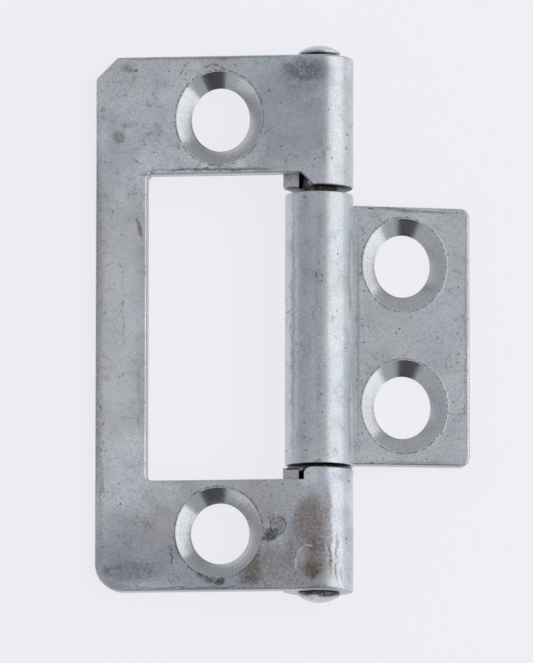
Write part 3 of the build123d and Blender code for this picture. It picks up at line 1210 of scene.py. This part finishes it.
@dataclass(frozen=True)
class PressedCountersink(PlacedFinish):
    """The countersink's wall: the plated steel drawn over a turned punch, brighter and finely ringed.

    The punch's rings run round the wall and its drag marks run down it. dish tilts the wall's shading
    inwards, in degrees.
    """

    holes: tuple[Hole, ...] = ()
    dish: float = 0.0
    base: str = "#CCCED0"
    roughness: float = 0.18
    worn: Shading = Shading("#B4B6B9", 1.5, 1.95, 0.7)

    # The punch's rings and the pits are a few hundredths of a millimetre wide, finer than a pixel, so both
    # are drawn coarser. The changes are how much each pattern varies on the way round the hole.
    ring_mm: float = 0.14
    ring_changes: float = 1.2
    drag_mm: float = 2.0
    drag_changes: float = 14.0
    noise_detail: float = 3.0
    pit_mm: float = 0.16
    pit_detail: float = 2.0
    pit_share: float = 1.2
    bump_mm: float = 0.005

    def material(self) -> bpy.types.Material:
        """Build the material.

        Returns:
            The ringed wall.
        """
        material, shader, place = self.start()
        tree = material.node_tree
        (first, near_first), (second, near_second) = (
            self.around_hole(tree, place, hole) for hole in self.holes
        )
        nearer = add_node(
            tree, "ShaderNodeMath", {"operation": "LESS_THAN"}, {0: near_second, 1: near_first}
        ).outputs[0]
        centred = add_node(
            tree,
            "ShaderNodeMix",
            {"data_type": "VECTOR"},
            {"Factor": nearer, VECTOR_A: first, VECTOR_B: second},
        ).outputs[VECTOR_OUT]
        radius = add_node(
            tree, "ShaderNodeVectorMath", {"operation": "LENGTH"}, {0: centred}
        ).outputs["Value"]
        ray = add_node(tree, "ShaderNodeVectorMath", {"operation": "NORMALIZE"}, {0: centred}).outputs[0]
        patterns = []
        for changes, size in ((self.ring_changes, self.ring_mm), (self.drag_changes, self.drag_mm)):
            swept = add_node(
                tree, "ShaderNodeVectorMath", {"operation": "MULTIPLY"}, {0: ray, 1: (changes, changes, 0.0)}
            ).outputs[0]
            out = add_node(
                tree, "ShaderNodeMath", {"operation": "MULTIPLY"}, {0: radius, 1: 1.0 / size}
            ).outputs[0]
            lift = add_node(tree, "ShaderNodeCombineXYZ", {}, {"Z": out}).outputs[0]
            vector = add_node(
                tree, "ShaderNodeVectorMath", {"operation": "ADD"}, {0: swept, 1: lift}
            ).outputs[0]
            pattern = add_node(
                tree,
                "ShaderNodeTexNoise",
                {},
                {"Vector": vector, "Scale": 1.0, "Detail": self.noise_detail},
            )
            patterns.append(pattern.outputs["Fac"])
        rings, drags = patterns
        marks = add_node(tree, "ShaderNodeMath", {"operation": "ADD"}, {0: drags, 1: rings}).outputs[0]
        pits = add_node(
            tree,
            "ShaderNodeTexNoise",
            {},
            {"Vector": place, "Scale": 1.0 / self.pit_mm, "Detail": self.pit_detail},
        ).outputs["Fac"]
        marks = add_node(
            tree, "ShaderNodeMath", {"operation": "MULTIPLY_ADD"}, {0: pits, 1: self.pit_share, 2: marks}
        ).outputs[0]
        colour = self.worn.over(tree, linear(self.base), marks)
        fall = -math.tan(math.radians(self.dish)) * math.sqrt(2) / self.bump_mm
        height = add_node(
            tree, "ShaderNodeMath", {"operation": "MULTIPLY_ADD"}, {0: radius, 1: fall, 2: marks}
        ).outputs[0]
        bump = add_node(
            tree,
            "ShaderNodeBump",
            {},
            {"Strength": 1.0, "Distance": self.bump_mm * MM, "Height": height},
        ).outputs["Normal"]
        feed(
            tree,
            shader,
            {"Base Color": colour, "Metallic": 1.0, "Roughness": self.roughness, "Normal": bump},
        )
        return material


@dataclass(frozen=True)
class ShearedEdge(PlacedFinish):
    """The cut side of the sheet: bright where the punch slid past, broken by duller grains where it tore."""

    base: str = "#C4C5C7"
    roughness: float = 0.36

    # The torn steel's grain is finer than a pixel, so it is drawn coarser.
    grain_mm: float = 0.16
    grain_detail: float = 4.0
    torn: Shading = Shading("#A4A6AB", 0.42, 0.64)
    bump_strength: float = 0.35
    bump_mm: float = 0.03

    # Painted shade lies on the knuckles' ends that face each other, which turn away from the light in the
    # gaps. These are as far as the gap's reach from the gaps' middle along the pin, and within the barrel's
    # reach of its axis, all in millimetres.
    gap_shade: str = "#4A4845"
    gap_shade_strength: float = 0.95
    fully_shaded_to: float = 0.28
    unshaded_from: float = 0.36
    gaps_middle: float = -0.47
    gap_reach: float = 12.93
    barrel_reach: float = 3.3

    def material(self) -> bpy.types.Material:
        """Build the material.

        Returns:
            The cut steel, with painted shade on the knuckles' ends that face each other.
        """
        material, shader, place = self.start()
        tree = material.node_tree
        grain = add_node(
            tree,
            "ShaderNodeTexNoise",
            {},
            {"Vector": place, "Scale": 1.0 / self.grain_mm, "Detail": self.grain_detail},
        ).outputs["Fac"]
        colour = self.torn.over(tree, linear(self.base), grain)
        along = add_node(tree, "ShaderNodeSeparateXYZ", {}, {"Vector": place}).outputs["Y"]
        for step in (self.gaps_middle, self.gap_reach):
            moved = add_node(tree, "ShaderNodeMath", {"operation": "SUBTRACT"}, {0: along, 1: step})
            along = add_node(
                tree, "ShaderNodeMath", {"operation": "ABSOLUTE"}, {0: moved.outputs[0]}
            ).outputs[0]
        # Painted shade on the knuckles' ends that face each other across the gaps.
        gap_shade_band = add_node(
            tree,
            "ShaderNodeMapRange",
            {"interpolation_type": "SMOOTHSTEP"},
            {
                "Value": along,
                "From Min": self.fully_shaded_to,
                "From Max": self.unshaded_from,
                "To Min": self.gap_shade_strength,
                "To Max": 0.0,
            },
        ).outputs["Result"]
        across = add_node(
            tree, "ShaderNodeVectorMath", {"operation": "MULTIPLY"}, {0: place, 1: (1.0, 0.0, 1.0)}
        ).outputs[0]
        from_axis = add_node(
            tree, "ShaderNodeVectorMath", {"operation": "LENGTH"}, {0: across}
        ).outputs["Value"]
        on_barrel = add_node(
            tree, "ShaderNodeMath", {"operation": "LESS_THAN"}, {0: from_axis, 1: self.barrel_reach}
        ).outputs[0]
        gap_shaded = add_node(
            tree, "ShaderNodeMath", {"operation": "MULTIPLY"}, {0: gap_shade_band, 1: on_barrel}
        ).outputs[0]
        colour = add_node(
            tree,
            "ShaderNodeMix",
            {"data_type": "RGBA"},
            {"Factor": gap_shaded, COLOUR_A: colour, COLOUR_B: linear(self.gap_shade)},
        ).outputs[COLOUR_OUT]
        bump = add_node(
            tree,
            "ShaderNodeBump",
            {},
            {"Strength": self.bump_strength, "Distance": self.bump_mm * MM, "Height": grain},
        ).outputs["Normal"]
        feed(
            tree,
            shader,
            {"Base Color": colour, "Metallic": 1.0, "Roughness": self.roughness, "Normal": bump},
        )
        return material


class RolledLeaf:
    """What the two leaves have in common: a pressed blank, rolled round the pin at its inner end.

    Each is modelled with its sheet towards negative x and the outside of its roll uppermost.
    """

    def roll(self, piece: Workpiece) -> None:
        """Roll the blank's inner end round the pin, turn it up under the sheet, and give it its thickness.

        Args:
            piece: the flat blank, at the height of the barrel's top.
        """
        piece.select(Domain.EDGES, lambda e: all(abs(v.co.x) < TOUCHING for v in e.verts))
        bpy.ops.mesh.spin(
            steps=STOCK.roll_steps,
            angle=math.radians(STOCK.roll_degrees),
            center=(0.0, 0.0, 0.0),
            axis=(0.0, -1.0, 0.0),
        )
        bpy.ops.mesh.extrude_region_move(
            TRANSFORM_OT_translate={"value": (0.0, 0.0, STOCK.lip_height)}
        )
        bpy.ops.mesh.select_all(action="SELECT")
        bpy.ops.mesh.remove_doubles(threshold=TOUCHING)
        bpy.ops.mesh.normals_make_consistent(inside=False)
        shape = bmesh.from_edit_mesh(piece.thing.data)
        sheet = max(shape.faces, key=lambda f: f.calc_area())
        if sheet.normal.z < 0:
            bpy.ops.mesh.flip_normals()
        piece.modify(
            "SOLIDIFY",
            thickness=STOCK.sheet,
            offset=-1.0,
            use_even_offset=True,
            material_offset_rim=Finish.EDGE.value,
        )

    def countersink(self, piece: Workpiece, holes: tuple[Hole, ...], upward: bool) -> None:
        """Cut the leaf's two countersunk holes and give their walls their finish.

        Args:
            piece: the leaf, solid.
            holes: the holes, by their places about the pin's axis.
            upward: whether they open on the outside of the roll.
        """
        over = 0.5
        back = STOCK.bore_radius if upward else STOCK.barrel_radius
        way = 1.0 if upward else -1.0
        stations = [
            (-over * way, STOCK.hole_radius),
            (STOCK.hole_land * way, STOCK.hole_radius),
            ((STOCK.sheet + over) * way, STOCK.countersink_radius + over),
        ]
        for hole in holes:
            bpy.ops.object.mode_set(mode="OBJECT")
            place = Vector((hole.x, hole.y, back))
            cutter = Workpiece.turned("cutter", stations, STOCK.turn_steps, place)
            bpy.ops.mesh.select_all(action="SELECT")
            bpy.ops.transform.resize(value=(hole.stretch_x, hole.stretch_y, 1.0), center_override=place)
            piece.subtract(cutter)
        slack = 0.1
        flat = 0.9

        def in_hole(face: Any) -> bool:
            """Whether a face is on the wall of a hole.

            Args:
                face: the face.

            Returns:
                True for a face that isn't flat and is within a rim and its slack.
            """
            middle = face.calc_center_median()
            return abs(face.normal.z) < flat and any(
                math.hypot(middle.x - hole.x, middle.y - hole.y)
                < (STOCK.countersink_radius + slack) * max(hole.stretch_x, hole.stretch_y)
                for hole in holes
            )

        piece.assign(Finish.WALL, in_hole)


@dataclass
class OuterLeaf(RolledLeaf):
    """The frame with a window, and a knuckle at each end of the barrel. It slopes down to the surface."""

    length: float = 50.0
    reach: float = 20.55
    rail_width: float = 4.8
    arm_width: float = 10.7
    window_corner: float = 0.5
    chamfered_corner: float = 2.0
    chamfer_round: float = 0.5
    rounded_corner: float = 2.6
    window_shift: float = -0.405
    relief_reach: float = 1.1
    relief_round: float = 0.75
    slant_reach: float = 1.6
    slant_run: float = 1.4
    knuckle_step: float = 1.175
    hole_reach: float = 9.0
    hole_shift: float = -0.25
    hole_spacing: float = record_mount("outer_leaf_screws")["dims"]["pcd_mm"]
    dish: float = 1.0

    def holes(self) -> tuple[Hole, ...]:
        """Return the lower and the upper hole, each as the punch left it."""
        low, high = (self.hole_shift + side * self.hole_spacing for side in (-0.5, 0.5))
        return Hole(-self.hole_reach, low, stretch_y=1.035), Hole(-self.hole_reach, high, stretch_y=1.09)

    def finishes(self) -> list[bpy.types.Material]:
        """Make the leaf's finishes.

        Returns:
            The plate, the sheared edge and the countersinks' walls.
        """
        marks = OUTER_FACE.placed(TOP_ARM_MARKS + LEFT_RAIL_MARKS + LOWER_ARM_MARKS + LOWER_KNUCKLE_MARKS)
        return [
            # The outer leaf's plating gets a lighter base than the flap's, which is painted light: both
            # leaves are the same zinc.
            DullZincPlate("dull_zinc_plate_outer", -SLOPE, marks, self.holes(), base="#E4E7EB").material(),
            ShearedEdge("sheared_edge_outer", -SLOPE).material(),
            PressedCountersink("pressed_countersink_outer", -SLOPE, self.holes(), self.dish).material(),
        ]

    def build(self) -> bpy.types.Object:
        """Model the leaf, dress it and set it in place.

        Returns:
            The finished leaf.
        """
        half = self.length / 2
        window_x = -(self.reach - self.rail_width)
        window_half = half - self.arm_width
        gap_half = window_half - self.knuckle_step
        slant_end = self.slant_run - self.slant_reach
        shift = self.window_shift
        piece = Workpiece.plane("outer_leaf_plate", -self.reach, 0.0, -half, half, STOCK.barrel_radius)
        for x in (window_x, -self.slant_reach, -self.relief_reach):
            piece.cut((x, 0.0, 0.0), (1.0, 0.0, 0.0))
        for y in (-window_half, -gap_half, gap_half, window_half):
            piece.cut((0.0, y + shift, 0.0), (0.0, 1.0, 0.0))
        piece.cut((slant_end, gap_half + shift, 0.0), (self.knuckle_step, self.slant_run, 0.0))

        def in_window(face: Any) -> bool:
            """Whether a face is inside the window or the barrel's gap.

            Args:
                face: the face.

            Returns:
                True for a face that the press punched out.
            """
            x, y, _ = face.calc_center_median()
            if y > shift:
                slant = max(0.0, slant_end - x) * self.knuckle_step / self.slant_run
                high = min(window_half, gap_half + slant)
            else:
                high = window_half if x < -self.relief_reach else gap_half
            return x > window_x and abs(y - shift) < high

        piece.drop_faces(in_window)

        def relief_corner(vert: Any) -> bool:
            """Whether a corner is where the lower knuckle's end meets its relief cut."""
            return abs(vert.co.x + self.relief_reach) < NEAR and abs(vert.co.y - shift + gap_half) < NEAR

        def window_corner(vert: Any) -> bool:
            """Whether a corner is one of the window's two beside the rail."""
            return abs(vert.co.x - window_x) < NEAR and abs(vert.co.y) < half - NEAR

        def chamfer_end(vert: Any) -> bool:
            """Whether a corner is an end of the chamfer."""
            return vert.co.y - vert.co.x > half + self.reach - self.chamfered_corner - NEAR

        # The outline turns by 45 degrees at each end of the chamfer, so a round there starts this far away.
        chamfer_start = self.chamfer_round * math.tan(math.radians(45 / 2))
        piece.corner(relief_corner, self.relief_round, steps=8)
        piece.corner(window_corner, self.window_corner, steps=6)
        piece.corner(lambda v: v.co.x < -self.reach + NEAR and v.co.y > 0, self.chamfered_corner, steps=1)
        piece.corner(chamfer_end, chamfer_start, steps=4)
        piece.corner(lambda v: v.co.x < -self.reach + NEAR and v.co.y < 0, self.rounded_corner, steps=12)
        piece.dress(self.finishes())
        self.roll(piece)
        self.round_press_side(piece)
        self.countersink(piece, self.holes(), upward=True)
        return piece.set_in_place(-SLOPE, Body.OUTER, Slot.PLATE, "outer_leaf")

    def round_press_side(self, piece: Workpiece) -> None:
        """Round the edges of the outside, where the press tool rolled them over.

        Args:
            piece: the leaf, solid.
        """
        tolerance = 0.02

        def outside(vert: Any) -> bool:
            """Whether a corner is on the outside of the sheet or of the roll.

            Args:
                vert: the corner.

            Returns:
                True for one within the tolerance.
            """
            x, _, z = vert.co
            level = z if x < 0 and z > 0 else math.hypot(x, z)
            return abs(level - STOCK.barrel_radius) <= tolerance

        piece.round_edges(
            lambda e: is_sharp(e) and all(outside(v) for v in e.verts), STOCK.edge_roll, STOCK.edge_steps
        )


@dataclass
class InnerLeaf(RolledLeaf):
    """The flap that nests in the window, with the long knuckle in the middle of the barrel."""

    reach: float = 14.4
    knuckle_length: float = 25.49
    knuckle_shift: float = -0.535
    relief_reach: float = 1.1
    upper_step: float = 0.6
    lower_step: float = 0.5
    corner_radius: float = 0.85
    edge_fall: float = 0.16
    rim_chamfer: float = 0.25
    hole_reach: float = 8.2
    hole_spacing: float = record_mount("flap_screws")["dims"]["spacing_y_mm"]
    dish: float = 9.0

    def holes(self, side: float = 1.0) -> tuple[Hole, ...]:
        """Return the lower and the upper hole, each as the punch left it.

        Args:
            side: 1 as they lie in the open hinge, or -1 as they are modelled, with the leaf turned over.

        Returns:
            The two holes.
        """
        middle = (record_mount("flap_screws")["pos_m"][1] - AXIS_M.y) / MM
        low, high = (middle + part * self.hole_spacing for part in (-0.5, 0.5))
        reach = side * self.hole_reach
        return (
            Hole(reach, low, stretch_x=0.98, stretch_y=1.075),
            Hole(reach, high, stretch_x=0.96, stretch_y=1.075),
        )

    def finishes(self) -> list[bpy.types.Material]:
        """Make the leaf's finishes.

        Returns:
            The plate, the sheared edge and the countersinks' walls.
        """
        marks = BARREL_TOP.placed(MIDDLE_KNUCKLE_MARKS) + FLAP_FACE.placed(FLAP_MARKS)
        return [
            DullZincPlate(
                "dull_zinc_plate_inner",
                0.0,
                marks,
                self.holes(),
                face_level=-STOCK.bore_radius,
                barrel_from=-STOCK.barrel_radius,
            ).material(),
            ShearedEdge("sheared_edge_inner").material(),
            PressedCountersink("pressed_countersink_inner", 0.0, self.holes(), self.dish).material(),
        ]

    def build(self) -> bpy.types.Object:
        """Model the leaf, dress it and set it in place.

        Returns:
            The finished leaf.
        """
        half = self.knuckle_length / 2
        shift = self.knuckle_shift
        high = shift + half - self.upper_step
        low = shift - half + self.lower_step
        fall = self.edge_fall / self.reach
        piece = Workpiece.plane(
            "inner_leaf_plate", -self.reach, 0.0, shift - half, shift + half, STOCK.barrel_radius
        )
        piece.cut((-self.relief_reach, 0.0, 0.0), (1.0, 0.0, 0.0))
        piece.cut((0.0, high, 0.0), (-fall, 1.0, 0.0))
        piece.cut((0.0, low, 0.0), (0.0, 1.0, 0.0))

        def beyond_flap(face: Any) -> bool:
            """Whether a face is past the relief and above or below the flap."""
            middle = face.calc_center_median()
            return middle.x < -self.relief_reach and not low < middle.y < high + fall * middle.x

        piece.drop_faces(beyond_flap)
        piece.corner(lambda v: v.co.x < -self.reach + NEAR, self.corner_radius, steps=8)
        piece.dress(self.finishes())
        self.roll(piece)
        self.round_rims(piece)
        least_tilt = 0.2
        most_tilt = 0.98
        inside = STOCK.barrel_radius - 1.5 * self.rim_chamfer

        def on_chamfer(face: Any) -> bool:
            """Whether a face is on the chamfer round an end of the knuckle.

            Args:
                face: the face.

            Returns:
                True for a tilted face at the knuckle's end and near its outside.
            """
            middle = face.calc_center_median()
            near_end = abs(middle.y - shift) > half - self.rim_chamfer
            tilted = least_tilt < abs(face.normal.y) < most_tilt
            return near_end and tilted and math.hypot(middle.x, middle.z) > inside

        piece.assign(Finish.PLATE, on_chamfer)
        self.countersink(piece, self.holes(-1.0), upward=False)
        return piece.set_in_place(math.pi, Body.INNER, Slot.PLATE, "inner_leaf")

    def round_rims(self, piece: Workpiece) -> None:
        """Round the flap's outline on its countersunk side, and chamfer the knuckle's ends.

        Args:
            piece: the leaf, solid.
        """
        face_tolerance = 0.01
        rim_tolerance = 0.02
        rim_steps = 2

        def on_flap(vert: Any) -> bool:
            """Whether a corner is on the countersunk side of the flap."""
            return abs(vert.co.z - STOCK.bore_radius) < face_tolerance and vert.co.x < face_tolerance

        def on_barrel(vert: Any) -> bool:
            """Whether a corner is on the outside of the knuckle."""
            return abs(math.hypot(vert.co.x, vert.co.z) - STOCK.barrel_radius) < rim_tolerance

        for place, size, steps in (
            (on_flap, STOCK.edge_roll, STOCK.edge_steps),
            (on_barrel, self.rim_chamfer, rim_steps),
        ):
            piece.round_edges(lambda e: is_sharp(e) and all(place(v) for v in e.verts), size, steps)


@dataclass
class Pin:
    """The rod through the knuckles, upset to a dome at each end."""

    radius: float = 1.665
    head_radius: float = 1.95
    head_rim: float = 0.2
    dome_height: float = 0.65
    upper_seat: float = 25.4
    lower_seat: float = -25.08
    dome_steps: int = 10
    roughness: float = 0.24

    def dome(self) -> list[tuple[float, float]]:
        """Divide a dome into stations.

        Returns:
            The height above the rim and the radius of each station.
        """
        sphere = (self.head_radius**2 + self.dome_height**2) / (2 * self.dome_height)
        widest = math.asin(self.head_radius / sphere)
        return [
            (sphere * math.cos(a) - sphere + self.dome_height, sphere * math.sin(a))
            for a in (widest * (1 - i / self.dome_steps) for i in range(1, self.dome_steps))
        ]

    def build(self) -> bpy.types.Object:
        """Turn the pin, dress it and set it in place.

        Returns:
            The finished pin.
        """
        dome = self.dome()
        low = self.lower_seat - self.head_rim
        high = self.upper_seat + self.head_rim
        stations = [(low - up, across) for up, across in reversed(dome)]
        stations += [(low, self.head_radius), (self.lower_seat, self.head_radius)]
        stations += [(self.lower_seat, self.radius), (self.upper_seat, self.radius)]
        stations += [(self.upper_seat, self.head_radius), (high, self.head_radius)]
        stations += [(high + up, across) for up, across in dome]
        piece = Workpiece.turned("pin_steel_rod", stations, STOCK.turn_steps, Vector())
        bpy.ops.mesh.select_all(action="SELECT")
        bpy.ops.transform.rotate(
            value=math.radians(90), orient_axis="X", center_override=(0.0, 0.0, 0.0)
        )

        # The pin is drawn wire, smoother than the sheet, so the same plating is shinier on it.
        # Its marks are painted shade where the pin shows in the gaps, and painted shade with dirt under its
        # heads.
        finish = DullZincPlate("bright_zinc_pin", marks_and_painted_light=PIN_MARKS, roughness=self.roughness)
        piece.dress([finish.material()])
        return piece.set_in_place(0.0, Body.OUTER, Slot.PIN, "pin")


@dataclass(frozen=True)
class PaleTable:
    """The table that the hinge lies on: matt white acrylic, lit a little from below to keep shadows soft."""

    base: str = "#6A6A6C"
    glow: str = "#EDECF2"
    glow_strength: float = 0.885
    roughness: float = 0.9

    def material(self) -> bpy.types.Material:
        """Build the material.

        Returns:
            The acrylic.
        """
        material = bpy.data.materials.new("matt_white_acrylic")
        material.use_nodes = True
        tree = material.node_tree
        feed(
            tree,
            tree.nodes["Principled BSDF"],
            {
                "Base Color": linear(self.base),
                "Roughness": self.roughness,
                "Emission Color": linear(self.glow),
                "Emission Strength": self.glow_strength,
            },
        )
        return material


@dataclass(frozen=True)
class GreyRoom:
    """The room round the table: pale overhead, greyer towards the walls, with a dark gap at the near side.

    Its colours are light and not a surface's, and cool is a factor on them towards the left. The overhead
    values are heights and the cool ones are places from left to right, on a sphere of radius one. Angles and
    blurs are in degrees.
    """

    overhead: tuple[float, float, float] = (0.57, 0.58, 0.60)
    overhead_from: float = 0.35
    overhead_full: float = 0.97
    walls: tuple[float, float, float] = (0.49, 0.50, 0.515)
    cool: tuple[float, float, float] = (1.04, 1.06, 1.09)
    cool_from: float = -0.1
    cool_full: float = -0.6
    gap: tuple[float, float, float] = (0.08, 0.08, 0.09)
    gap_half_angle: float = 20.0
    gap_side_blur: float = 3.0
    gap_top: float = 40.0
    gap_top_blur: float = 6.0

    def world(self) -> bpy.types.World:
        """Build the world.

        Returns:
            A world whose light depends on the direction alone.
        """
        world = bpy.data.worlds.new("grey_room")
        world.use_nodes = True
        tree = world.node_tree
        way = add_node(tree, "ShaderNodeTexCoord").outputs["Generated"]
        parts = add_node(tree, "ShaderNodeSeparateXYZ", {}, {"Vector": way}).outputs
        high = add_node(
            tree,
            "ShaderNodeMapRange",
            {"interpolation_type": "SMOOTHSTEP"},
            {"Value": parts["Z"], "From Min": self.overhead_from, "From Max": self.overhead_full},
        ).outputs["Result"]
        room = add_node(
            tree,
            "ShaderNodeMix",
            {"data_type": "RGBA"},
            {"Factor": high, COLOUR_A: (*self.walls, 1.0), COLOUR_B: (*self.overhead, 1.0)},
        ).outputs[COLOUR_OUT]
        left = add_node(
            tree,
            "ShaderNodeMapRange",
            {"interpolation_type": "SMOOTHSTEP"},
            {"Value": parts["X"], "From Min": self.cool_from, "From Max": self.cool_full},
        ).outputs["Result"]
        room = add_node(
            tree,
            "ShaderNodeMix",
            {"data_type": "RGBA", "blend_type": "MULTIPLY"},
            {"Factor": left, COLOUR_A: room, COLOUR_B: (*self.cool, 1.0)},
        ).outputs[COLOUR_OUT]
        level = add_node(
            tree, "ShaderNodeVectorMath", {"operation": "MULTIPLY"}, {0: way, 1: (1.0, 1.0, 0.0)}
        ).outputs[0]
        flat = add_node(tree, "ShaderNodeVectorMath", {"operation": "NORMALIZE"}, {0: level}).outputs[0]
        near = add_node(
            tree, "ShaderNodeVectorMath", {"operation": "DOT_PRODUCT"}, {0: flat, 1: (0.0, -1.0, 0.0)}
        ).outputs["Value"]
        beside = add_node(
            tree,
            "ShaderNodeMapRange",
            {"interpolation_type": "SMOOTHSTEP"},
            {
                "Value": near,
                "From Min": math.cos(math.radians(self.gap_half_angle + self.gap_side_blur)),
                "From Max": math.cos(math.radians(self.gap_half_angle - self.gap_side_blur)),
            },
        ).outputs["Result"]
        below = add_node(
            tree,
            "ShaderNodeMapRange",
            {"interpolation_type": "SMOOTHSTEP"},
            {
                "Value": parts["Z"],
                "From Min": math.sin(math.radians(self.gap_top - self.gap_top_blur)),
                "From Max": math.sin(math.radians(self.gap_top + self.gap_top_blur)),
                "To Min": 1.0,
                "To Max": 0.0,
            },
        ).outputs["Result"]
        dark = add_node(tree, "ShaderNodeMath", {"operation": "MULTIPLY"}, {0: beside, 1: below}).outputs[0]
        colour = add_node(
            tree,
            "ShaderNodeMix",
            {"data_type": "RGBA"},
            {"Factor": dark, COLOUR_A: room, COLOUR_B: (*self.gap, 1.0)},
        ).outputs[COLOUR_OUT]
        tree.links.new(colour, tree.nodes["Background"].inputs["Color"])
        return world


@dataclass(frozen=True)
class SoftBox:
    """A large diffused lamp, by the direction it stands in and the angles that it covers, in degrees."""

    name: str
    azimuth: float
    elevation: float
    across: float
    up: float
    radiance: float
    distance: float = 0.8

    def build(self) -> None:
        """Stand the lamp in its place, facing the hinge."""
        turn = math.radians(self.azimuth)
        rise = math.radians(self.elevation)
        away = Vector((math.cos(rise) * math.cos(turn), math.cos(rise) * math.sin(turn), math.sin(rise)))
        bpy.ops.object.light_add(
            type="AREA", location=away * self.distance, rotation=away.to_track_quat("Z", "Y").to_euler()
        )
        lamp = bpy.context.active_object
        lamp.name = self.name
        lamp.data.shape = "RECTANGLE"
        lamp.data.size = 2 * self.distance * math.tan(math.radians(self.across / 2))
        lamp.data.size_y = 2 * self.distance * math.tan(math.radians(self.up / 2))
        lamp.data.energy = self.radiance * math.pi * lamp.data.size * lamp.data.size_y


@dataclass
class Studio:
    """The pale table, the soft lights and the camera.

    The camera's place in millimetres, its turn in degrees and its lens were fitted to the hinge's outline in
    the photograph. The floor's size and the clip's end are in metres.
    """

    floor_size: float = 3.0
    camera_place: tuple[float, float, float] = (-112.4, -122.51, 887.44)
    camera_turn: tuple[float, float, float] = (7.766, -7.138, 0.062)
    lens: float = 526.22
    clip_end: float = 10.0
    lamps: tuple[SoftBox, ...] = (
        SoftBox("soft_box_right", azimuth=3.0, elevation=36.0, across=78.0, up=62.0, radiance=0.80),
    )

    def build(self) -> None:
        """Set up the studio."""
        bpy.ops.mesh.primitive_plane_add(size=self.floor_size)
        floor = bpy.context.active_object
        floor.name = "floor"
        floor.data.materials.append(PaleTable().material())
        bpy.context.scene.world = GreyRoom().world()
        for lamp in self.lamps:
            lamp.build()
        bpy.ops.object.camera_add(
            location=Vector(self.camera_place) * MM,
            rotation=Euler([math.radians(a) for a in self.camera_turn]),
        )
        camera = bpy.context.active_object
        camera.data.lens = self.lens
        camera.data.clip_end = self.clip_end
        scene = bpy.context.scene
        scene.camera = camera
        scene.view_settings.view_transform = "Standard"


def main() -> None:
    """Build the hinge, piece by piece, and then the studio round it."""
    for piece in (OuterLeaf().build(), InnerLeaf().build(), Pin().build()):
        LOG.info("%s: %d faces", piece.name, len(piece.data.polygons))
    Studio().build()


if __name__ == "__main__":
    logging.basicConfig(level=logging.INFO, format="%(message)s")
    main()
